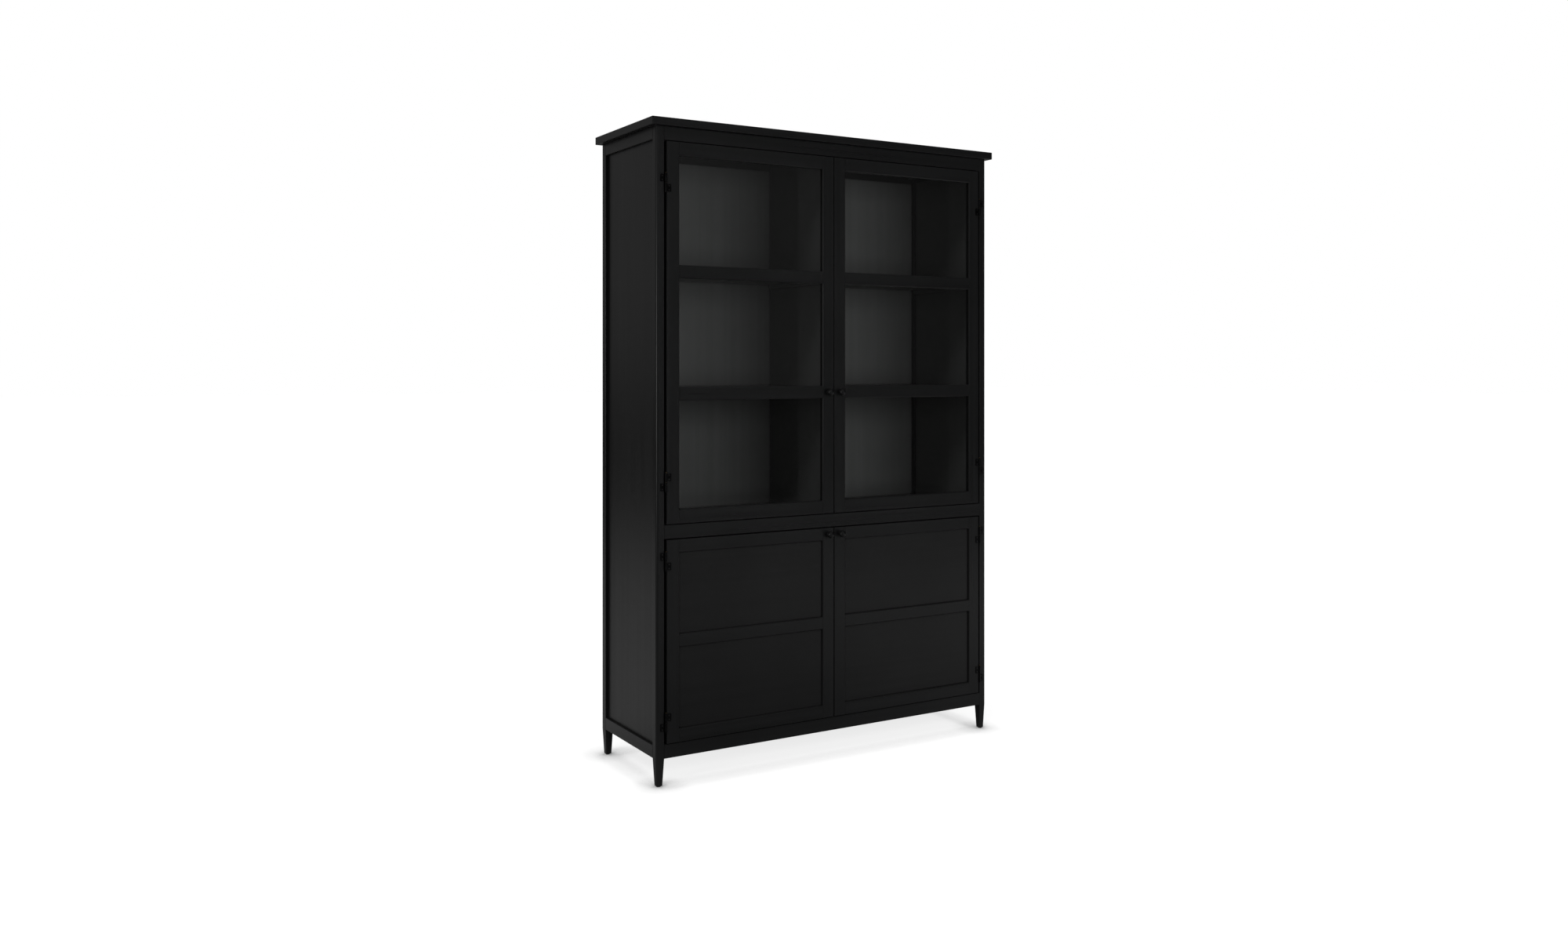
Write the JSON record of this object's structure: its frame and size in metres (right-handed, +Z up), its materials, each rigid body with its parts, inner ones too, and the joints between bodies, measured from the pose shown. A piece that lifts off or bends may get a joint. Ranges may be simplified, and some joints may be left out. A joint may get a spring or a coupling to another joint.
{
  "type": "china cabinet",
  "caption": "Tall black painted cabinet on tapered legs, with a pair of glazed doors above a pair of panelled doors, and shelves inside.",
  "frame": {"origin": "on the floor, in the middle of the whole object, door knobs included", "axes": "+Z up, +X to the right as seen from the front, +Y to the back; the doors face -Y"},
  "size_m": [1.36, 0.475, 2.1],
  "materials": {
    "black_wood": "black satin paint on solid wood",
    "black_panel": "black satin paint on flat panel",
    "black_interior": "black satin paint, interior",
    "glass": "clear 4 mm glass",
    "black_knob": "turned wood, black satin lacquer",
    "blackened_steel": "black painted steel hinge leaves",
    "hinge_pin_brass": "dull aged brass",
    "screw_steel": "blackened steel screws and strike discs",
    "magnet_nickel": "nickel plated magnets",
    "nylon_glide": "black nylon glides"
  },
  "bodies": {
    "carcass": {"back_left_post": "black_wood", "back_panels": "black_panel", "back_rails": "black_wood", "back_right_post": "black_wood", "bottom_deck": "black_interior", "catch_magnets": "magnet_nickel", "cleat_screws": "screw_steel", "corner_blocks": "black_interior", "door_stops": "black_interior", "foot_glides": "nylon_glide", "front_bottom_rail": "black_wood", "front_left_post": "black_wood", "front_mid_rail": "black_wood", "front_right_post": "black_wood", "front_top_rail": "black_wood", "hinge_pins": "hinge_pin_brass", "left_side_panel": "black_panel", "lower_shelves": "black_interior", "middle_deck": "black_interior", "partitions": "black_interior", "post_hinge_leaves": "blackened_steel", "post_hinge_screws": "screw_steel", "right_side_panel": "black_panel", "shelf_cleats": "black_interior", "side_rails": "black_wood", "top_board": "black_wood", "top_fixing_screws": "screw_steel", "upper_shelves": "black_interior"},
    "upper_left_door": {"upper_left_door_fixings": "screw_steel", "upper_left_door_glass": "glass", "upper_left_door_glazing_bars": "black_wood", "upper_left_door_glazing_beads": "black_wood", "upper_left_door_hinge_leaves": "blackened_steel", "upper_left_door_hinge_stile": "black_wood", "upper_left_door_knob": "black_knob", "upper_left_door_meeting_stile": "black_wood", "upper_left_door_rails": "black_wood"},
    "upper_right_door": {"upper_right_door_fixings": "screw_steel", "upper_right_door_glass": "glass", "upper_right_door_glazing_bars": "black_wood", "upper_right_door_glazing_beads": "black_wood", "upper_right_door_hinge_leaves": "blackened_steel", "upper_right_door_hinge_stile": "black_wood", "upper_right_door_knob": "black_knob", "upper_right_door_meeting_stile": "black_wood", "upper_right_door_rails": "black_wood"},
    "lower_left_door": {"lower_left_door_fixings": "screw_steel", "lower_left_door_hinge_leaves": "blackened_steel", "lower_left_door_hinge_stile": "black_wood", "lower_left_door_knob": "black_knob", "lower_left_door_meeting_stile": "black_wood", "lower_left_door_panels": "black_panel", "lower_left_door_rails": "black_wood"},
    "lower_right_door": {"lower_right_door_fixings": "screw_steel", "lower_right_door_hinge_leaves": "blackened_steel", "lower_right_door_hinge_stile": "black_wood", "lower_right_door_knob": "black_knob", "lower_right_door_meeting_stile": "black_wood", "lower_right_door_panels": "black_panel", "lower_right_door_rails": "black_wood"}
  },
  "joints": [
    {"name": "upper_left_door_hinge", "type": "hinge", "parent": "carcass", "child": "upper_left_door", "pos_m": [-0.6285, -0.2135, 1.426], "axis": [0, 0, -1], "range_deg": [0, 110]},
    {"name": "upper_right_door_hinge", "type": "hinge", "parent": "carcass", "child": "upper_right_door", "pos_m": [0.6285, -0.2135, 1.426], "axis": [0, 0, 1], "range_deg": [0, 110]},
    {"name": "lower_left_door_hinge", "type": "hinge", "parent": "carcass", "child": "lower_left_door", "pos_m": [-0.6285, -0.2135, 0.4545], "axis": [0, 0, -1], "range_deg": [0, 110]},
    {"name": "lower_right_door_hinge", "type": "hinge", "parent": "carcass", "child": "lower_right_door", "pos_m": [0.6285, -0.2135, 0.4545], "axis": [0, 0, 1], "range_deg": [0, 110]}
  ]
}
